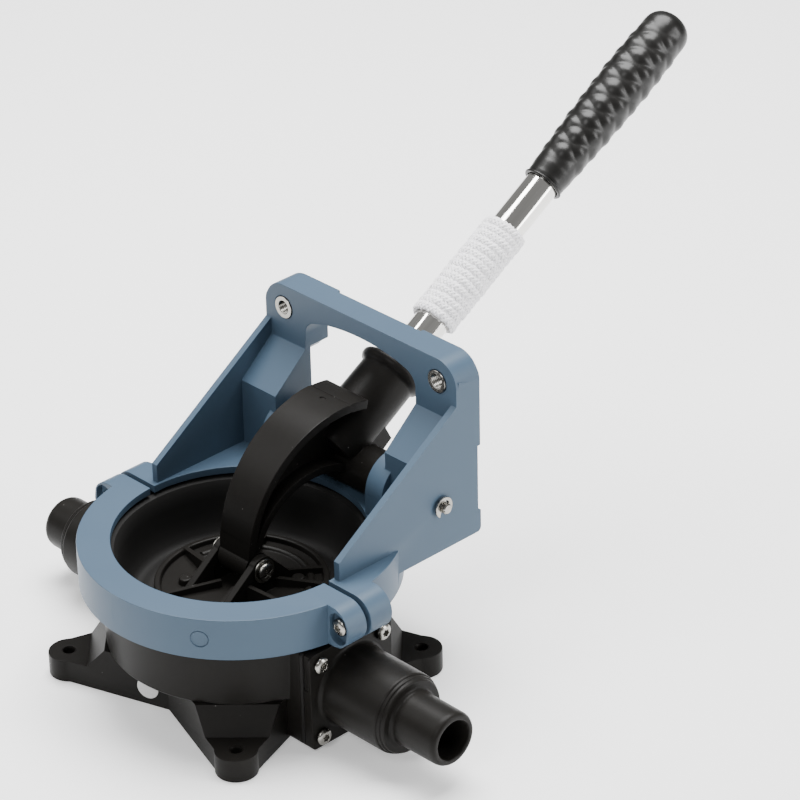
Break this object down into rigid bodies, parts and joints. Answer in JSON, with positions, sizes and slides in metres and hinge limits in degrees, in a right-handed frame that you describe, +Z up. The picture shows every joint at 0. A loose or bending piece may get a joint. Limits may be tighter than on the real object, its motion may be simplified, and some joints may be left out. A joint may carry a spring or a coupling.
{
  "type": "manual bilge pump",
  "caption": "Hand-operated diaphragm bilge pump with a round body on a star base, stepped hose tails, a clamp ring and portal frame, a curved lever and a gripped handle.",
  "frame": {"origin": "on the axis of the pump body, at its flat underside", "axes": "+Z up along the axis of the pump body, +X along the hose tails towards the outlet, +Y towards the bulkhead side of the portal and along the handle"},
  "size_m": [0.2576, 0.3533, 0.2313],
  "materials": {
    "black_plastic": "moulded black plastic with a satin skin and faint flow marks",
    "blue_grey_plastic": "moulded blue-grey plastic with a smooth satin skin",
    "black_rubber": "matt moulded rubber",
    "grip_vinyl": "glossy dipped vinyl with a raised diamond pattern",
    "stainless_steel": "plain stainless steel",
    "chrome_tube": "polished tube",
    "white_cord": "braided white cord"
  },
  "bodies": {
    "housing": {"pump_body": "black_plastic", "clamp_ring_front": "blue_grey_plastic", "yoke_frame": "blue_grey_plastic", "clamp_screw_left": "stainless_steel", "clamp_screw_right": "stainless_steel", "clamp_nut_left": "stainless_steel", "clamp_nut_right": "stainless_steel", "thread_insert_left": "stainless_steel", "thread_insert_right": "stainless_steel", "pivot_pin": "stainless_steel", "pivot_clip_left": "stainless_steel", "pivot_clip_right": "stainless_steel", "outlet_port": "black_plastic", "inlet_port": "black_plastic", "outlet_gasket": "black_rubber", "inlet_gasket": "black_rubber", "outlet_screw_1": "stainless_steel", "outlet_screw_2": "stainless_steel", "outlet_screw_3": "stainless_steel", "outlet_screw_4": "stainless_steel", "inlet_screw_1": "stainless_steel", "inlet_screw_2": "stainless_steel", "inlet_screw_3": "stainless_steel", "inlet_screw_4": "stainless_steel", "diaphragm": "black_rubber"},
    "lever": {"lever_arm": "black_plastic"},
    "handle": {"handle_tube": "chrome_tube", "handle_grip": "grip_vinyl", "lanyard_wrap": "white_cord"},
    "plate": {"clamp_plate_upper": "black_plastic", "clamp_plate_lower": "black_plastic", "plate_screw_1": "stainless_steel", "plate_screw_2": "stainless_steel", "plate_screw_3": "stainless_steel", "plate_screw_4": "stainless_steel", "link_screw_left": "stainless_steel", "link_screw_right": "stainless_steel"},
    "outlet_valve": {"outlet_flap": "black_rubber"},
    "inlet_valve": {"inlet_flap": "black_rubber"}
  },
  "joints": [
    {"name": "lever_pivot", "type": "hinge", "parent": "housing", "child": "lever", "pos_m": [0, 0.0645, 0.083], "axis": [1, 0, 0], "range_deg": [-18, 13]},
    {"name": "plate_travel", "type": "hinge", "parent": "housing", "child": "plate", "pos_m": [0, 0.128, 0.1085], "axis": [1, 0, 0], "range_deg": [-9, 6.5], "deforming": ["diaphragm"]},
    {"name": "handle_slide", "type": "slide", "parent": "lever", "child": "handle", "axis": [0, 0.8572, 0.515], "range_m": [0, 0.045]},
    {"name": "outlet_flap_hinge", "type": "hinge", "parent": "housing", "child": "outlet_valve", "pos_m": [0.06435, 0, 0.038], "axis": [0, -1, 0], "range_deg": [0, 30]},
    {"name": "inlet_flap_hinge", "type": "hinge", "parent": "housing", "child": "inlet_valve", "pos_m": [-0.06435, 0, 0.038], "axis": [0, -1, 0], "range_deg": [0, 30]}
  ],
  "couplings": [
    {"joint": "plate_travel", "follows": "lever_pivot", "ratio": 0.5}
  ]
}
